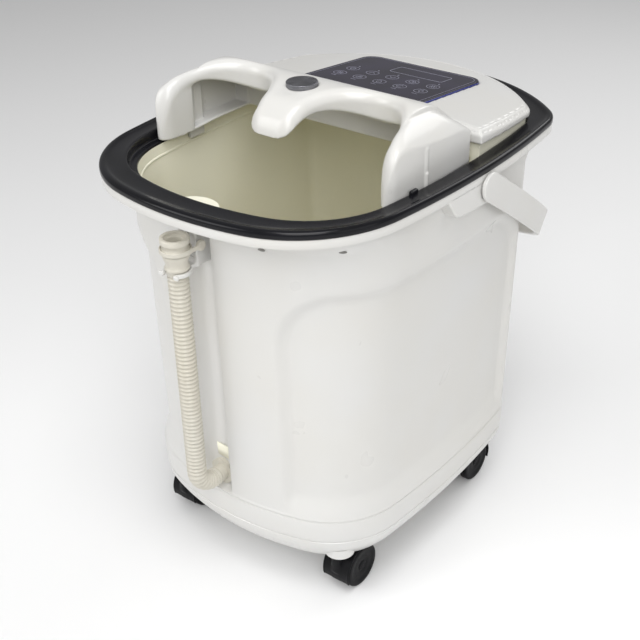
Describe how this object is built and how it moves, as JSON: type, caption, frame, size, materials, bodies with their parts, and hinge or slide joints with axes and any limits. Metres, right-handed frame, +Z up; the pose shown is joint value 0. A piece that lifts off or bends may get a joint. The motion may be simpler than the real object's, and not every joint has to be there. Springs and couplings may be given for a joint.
{
  "type": "pedicure foot bath",
  "caption": "Tall wheeled foot bath: deep oval tub with a black rim, a flip-up splash hood with leg openings, a touch panel, a bail handle and a ribbed drain hose.",
  "frame": {"origin": "on the floor under the centre of the overall box, in the tub's mirror plane", "axes": "+Z up, -Y towards the sitter and the drain hose, +Y towards the control panel, X across the tub"},
  "size_m": [0.3366, 0.4399, 0.4806],
  "materials": {
    "white_shell": "gloss white ABS",
    "ivory_basin": "gloss ivory ABS",
    "black_gloss": "piano black",
    "dark_panel": "gloss, dark tinted",
    "brushed_metal": "spun radial brushing",
    "bright_steel": "bright",
    "plated_steel": "zinc plated",
    "heater_alloy": "cast",
    "bronze_bearing": "sintered",
    "ivory_hose": "satin ivory polyethylene",
    "clear_tube": "satin",
    "red_lens": "tinted acrylic",
    "circuit_board": "solder-masked laminate",
    "black_rubber": "matte",
    "black_nylon": "satin nylon",
    "wheel_tread": "satin nylon wheel"
  },
  "bodies": {
    "tub": {"outer_shell": "white_shell", "base_tray": "white_shell", "inner_basin": "ivory_basin", "rim_ring": "black_gloss", "rim_gasket": "black_rubber", "hinge_pins": "bright_steel", "rear_cover": "white_shell", "touch_panel": "dark_panel", "housing_tray": "ivory_basin", "control_board": "circuit_board", "display_module": "dark_panel", "touch_film": "circuit_board", "board_screws": "bright_steel", "pivot_bushes": "white_shell", "drain_hose": "ivory_hose", "port_cuff": "ivory_hose", "hose_cuff": "ivory_hose", "hose_bracket": "white_shell", "hose_strap": "ivory_hose", "drain_elbow": "ivory_basin", "drain_strainer": "bright_steel", "caster_sockets": "black_nylon", "shaft_bearings": "bronze_bearing", "shaft_seals": "black_rubber", "drive_belt": "black_rubber", "massage_motor": "plated_steel", "heater_plate": "heater_alloy", "heater_element": "plated_steel", "thermostat": "black_nylon", "temperature_sensor": "bright_steel", "air_pump": "black_nylon", "air_pump_feet": "black_rubber", "air_hose": "clear_tube", "air_strip": "ivory_basin", "lamp_lens": "red_lens", "lamp_board": "circuit_board", "power_board": "circuit_board", "cord_gland": "black_rubber", "riser_cable": "clear_tube"},
    "hood": {"hood_shell": "white_shell", "hood_badge": "brushed_metal"},
    "handle": {"carry_handle": "white_shell", "pivot_screws": "bright_steel"},
    "left_massager": {"massage_disc_left": "ivory_basin", "massage_shaft_left": "bright_steel", "disc_pulley_left": "black_nylon"},
    "right_massager": {"massage_disc_right": "ivory_basin", "massage_shaft_right": "bright_steel", "disc_pulley_right": "black_nylon"},
    "motor_rotor": {"motor_pulley": "black_nylon"},
    "front_right_swivel": {"caster_frame_front_right": "black_nylon"},
    "front_left_swivel": {"caster_frame_front_left": "black_nylon"},
    "rear_right_swivel": {"caster_frame_rear_right": "black_nylon"},
    "rear_left_swivel": {"caster_frame_rear_left": "black_nylon"},
    "front_right_wheels": {"caster_wheels_front_right": "wheel_tread"},
    "front_left_wheels": {"caster_wheels_front_left": "wheel_tread"},
    "rear_right_wheels": {"caster_wheels_rear_right": "wheel_tread"},
    "rear_left_wheels": {"caster_wheels_rear_left": "wheel_tread"}
  },
  "joints": [
    {"name": "hood_flip", "type": "hinge", "parent": "tub", "child": "hood", "pos_m": [0, 0.02225, 0.4502], "axis": [-1, 0, 0], "range_deg": [0, 80]},
    {"name": "handle_swing", "type": "hinge", "parent": "tub", "child": "handle", "pos_m": [0, 0.01, 0.402], "axis": [1, 0, 0], "range_deg": [0, 122]},
    {"name": "left_disc_turn", "type": "hinge", "parent": "tub", "child": "left_massager", "pos_m": [-0.064, -0.01, 0.134], "axis": [0, 0, 1], "continuous": true},
    {"name": "right_disc_turn", "type": "hinge", "parent": "tub", "child": "right_massager", "pos_m": [0.064, -0.01, 0.134], "axis": [0, 0, 1], "continuous": true},
    {"name": "motor_turn", "type": "hinge", "parent": "tub", "child": "motor_rotor", "pos_m": [0, 0.07, 0.103], "axis": [0, 0, 1], "continuous": true},
    {"name": "front_right_swivel_turn", "type": "hinge", "parent": "tub", "child": "front_right_swivel", "pos_m": [0.104, -0.134, 0.05], "axis": [0, 0, 1], "continuous": true},
    {"name": "front_left_swivel_turn", "type": "hinge", "parent": "tub", "child": "front_left_swivel", "pos_m": [-0.104, -0.134, 0.05], "axis": [0, 0, 1], "continuous": true},
    {"name": "rear_right_swivel_turn", "type": "hinge", "parent": "tub", "child": "rear_right_swivel", "pos_m": [0.108, 0.114, 0.05], "axis": [0, 0, 1], "continuous": true},
    {"name": "rear_left_swivel_turn", "type": "hinge", "parent": "tub", "child": "rear_left_swivel", "pos_m": [-0.108, 0.114, 0.05], "axis": [0, 0, 1], "continuous": true},
    {"name": "front_right_wheel_roll", "type": "hinge", "parent": "front_right_swivel", "child": "front_right_wheels", "pos_m": [0.104, -0.116, 0.023], "axis": [1, 0, 0], "continuous": true},
    {"name": "front_left_wheel_roll", "type": "hinge", "parent": "front_left_swivel", "child": "front_left_wheels", "pos_m": [-0.104, -0.116, 0.023], "axis": [1, 0, 0], "continuous": true},
    {"name": "rear_right_wheel_roll", "type": "hinge", "parent": "rear_right_swivel", "child": "rear_right_wheels", "pos_m": [0.108, 0.096, 0.023], "axis": [1, 0, 0], "continuous": true},
    {"name": "rear_left_wheel_roll", "type": "hinge", "parent": "rear_left_swivel", "child": "rear_left_wheels", "pos_m": [-0.108, 0.096, 0.023], "axis": [1, 0, 0], "continuous": true}
  ],
  "couplings": [
    {"joint": "right_disc_turn", "follows": "left_disc_turn", "ratio": 1},
    {"joint": "motor_turn", "follows": "left_disc_turn", "ratio": 2.6}
  ]
}
